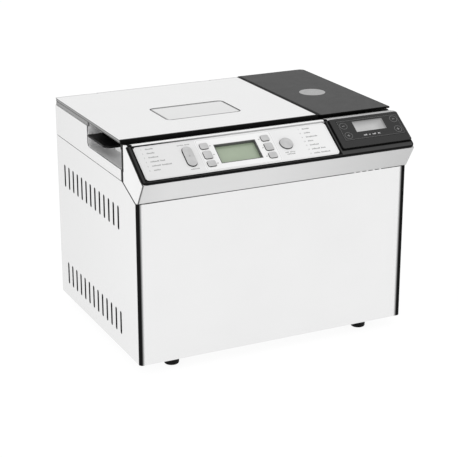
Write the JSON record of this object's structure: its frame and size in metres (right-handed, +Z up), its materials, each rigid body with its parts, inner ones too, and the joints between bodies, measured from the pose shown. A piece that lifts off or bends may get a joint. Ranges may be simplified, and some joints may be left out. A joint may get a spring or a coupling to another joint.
{
  "type": "bread machine",
  "caption": "Free-standing bread machine: box casing with side vents, windowed lid over a baking chamber with pan and blade, sloping control face, kitchen scale on top.",
  "frame": {"origin": "on the floor, at the centre of the whole footprint, nose included", "axes": "+X to the right seen from the front, +Y to the back, +Z up"},
  "size_m": [0.4, 0.32, 0.31],
  "materials": {
    "stainless_sheet": "fine brushed stainless sheet",
    "lid_sheet": "fine brushed stainless sheet",
    "galvanised_sheet": "plain galvanised sheet",
    "satin_silver": "satin silver lacquer on moulded plastic",
    "bezel_black": "satin, fine texture",
    "panel_white": "satin, printed",
    "key_silver": "satin silver lacquer",
    "display_green": "clear lens over a grey-green display",
    "board_green": "glass fibre board",
    "gloss_black": "gloss",
    "scale_glass": "smoked glass",
    "lcd_grey": "display",
    "platform_grey": "satin dark grey",
    "disc_steel": "brushed",
    "black_plastic": "fine texture",
    "liner_grey": "matt",
    "rubber_black": "matt",
    "window_glass": "clear toughened glass",
    "aluminium": "machined",
    "bright_steel": "bright",
    "chamber_steel": "aluminised steel",
    "nonstick": "non-stick coating",
    "element_black": "oxidised tube",
    "ceramic": "ceramic",
    "pulley_cream": "nylon",
    "motor_grey": "painted"
  },
  "bodies": {
    "casing": {"casing_wrap": "stainless_sheet", "back_panel": "galvanised_sheet", "base_plate": "galvanised_sheet", "foot_front_left": "rubber_black", "foot_front_right": "rubber_black", "foot_back_left": "rubber_black", "foot_back_right": "rubber_black", "foot_screws": "bright_steel", "top_frame": "stainless_sheet", "recess_liner": "liner_grey", "fascia_body": "satin_silver", "bezel": "bezel_black", "control_panel": "panel_white", "display_surround": "bezel_black", "display_lens": "display_green", "display_module": "display_green", "control_board": "board_green", "scale_head": "gloss_black", "scale_glass": "scale_glass", "scale_display": "lcd_grey", "scale_board": "board_green", "load_cell": "aluminium", "scale_tray": "black_plastic", "hinge_brackets": "bright_steel", "hinge_pin": "bright_steel", "oven_chamber": "chamber_steel", "heating_element": "element_black", "element_bushes": "ceramic", "temperature_sensor": "bright_steel", "drive_bearing": "aluminium", "drive_belt": "rubber_black", "motor": "motor_grey", "chassis": "galvanised_sheet", "power_board": "board_green", "cord_gland": "rubber_black"},
    "lid": {"lid_cover": "lid_sheet", "lid_liner": "black_plastic", "lid_heat_plate": "chamber_steel", "lid_window": "window_glass", "window_gasket": "rubber_black", "handle_tab": "black_plastic"},
    "pan": {"bread_pan": "nonstick", "pan_bearing": "aluminium"},
    "bail": {"pan_handle": "bright_steel"},
    "blade": {"pan_shaft": "bright_steel", "kneading_blade": "nonstick"},
    "drive": {"drive_shaft": "bright_steel", "drive_pulley": "pulley_cream"},
    "rotor": {"motor_pulley": "bright_steel"},
    "platform": {"scale_platform": "platform_grey", "platform_disc": "disc_steel", "platform_post": "aluminium"},
    "start_button": {"start_key": "key_silver"},
    "menu_button": {"menu_rocker": "key_silver"},
    "button_left_top": {"key_left_top": "key_silver"},
    "button_left_middle": {"key_left_middle": "key_silver"},
    "button_left_bottom": {"key_left_bottom": "key_silver"},
    "button_right_top": {"key_right_top": "key_silver"},
    "button_right_middle": {"key_right_middle": "key_silver"},
    "button_right_bottom": {"key_right_bottom": "key_silver"}
  },
  "joints": [
    {"name": "lid_hinge", "type": "hinge", "parent": "casing", "child": "lid", "pos_m": [-0.0555, 0.157, 0.307], "axis": [-1, 0, 0], "range_deg": [0, 95]},
    {"name": "pan_lift", "type": "slide", "parent": "casing", "child": "pan", "axis": [0, 0, 1], "range_m": [0, 0.065]},
    {"name": "bail_swing", "type": "hinge", "parent": "pan", "child": "bail", "pos_m": [-0.055, 0.02, 0.216], "axis": [-1, 0, 0], "range_deg": [0, 180]},
    {"name": "blade_spin", "type": "hinge", "parent": "pan", "child": "blade", "pos_m": [-0.055, 0.02, 0.09], "axis": [0, 0, 1], "continuous": true},
    {"name": "drive_spin", "type": "hinge", "parent": "casing", "child": "drive", "pos_m": [-0.055, 0.02, 0.03], "axis": [0, 0, 1], "continuous": true},
    {"name": "motor_spin", "type": "hinge", "parent": "casing", "child": "rotor", "pos_m": [0.14, 0.02, 0.03], "axis": [0, 0, 1], "continuous": true},
    {"name": "platform_press", "type": "slide", "parent": "casing", "child": "platform", "axis": [0, 0, 1], "range_m": [-0.0006, 0], "stiffness_N_per_m": 60000},
    {"name": "start_press", "type": "slide", "parent": "casing", "child": "start_button", "axis": [0, -0.5635, 0.8261], "range_m": [-0.0008, 0], "stiffness_N_per_m": 400},
    {"name": "menu_rock", "type": "hinge", "parent": "casing", "child": "menu_button", "pos_m": [-0.1228, -0.12893, 0.28564], "axis": [1, 0, 0], "range_deg": [-3, 3], "stiffness_Nm_per_rad": 0.4},
    {"name": "button_left_top_press", "type": "slide", "parent": "casing", "child": "button_left_top", "axis": [0, -0.5635, 0.8261], "range_m": [-0.0008, 0], "stiffness_N_per_m": 400},
    {"name": "button_left_middle_press", "type": "slide", "parent": "casing", "child": "button_left_middle", "axis": [0, -0.5635, 0.8261], "range_m": [-0.0008, 0], "stiffness_N_per_m": 400},
    {"name": "button_left_bottom_press", "type": "slide", "parent": "casing", "child": "button_left_bottom", "axis": [0, -0.5635, 0.8261], "range_m": [-0.0008, 0], "stiffness_N_per_m": 400},
    {"name": "button_right_top_press", "type": "slide", "parent": "casing", "child": "button_right_top", "axis": [0, -0.5635, 0.8261], "range_m": [-0.0008, 0], "stiffness_N_per_m": 400},
    {"name": "button_right_middle_press", "type": "slide", "parent": "casing", "child": "button_right_middle", "axis": [0, -0.5635, 0.8261], "range_m": [-0.0008, 0], "stiffness_N_per_m": 400},
    {"name": "button_right_bottom_press", "type": "slide", "parent": "casing", "child": "button_right_bottom", "axis": [0, -0.5635, 0.8261], "range_m": [-0.0008, 0], "stiffness_N_per_m": 400}
  ],
  "couplings": [
    {"joint": "blade_spin", "follows": "drive_spin", "ratio": 1},
    {"joint": "motor_spin", "follows": "drive_spin", "ratio": 5.5}
  ]
}
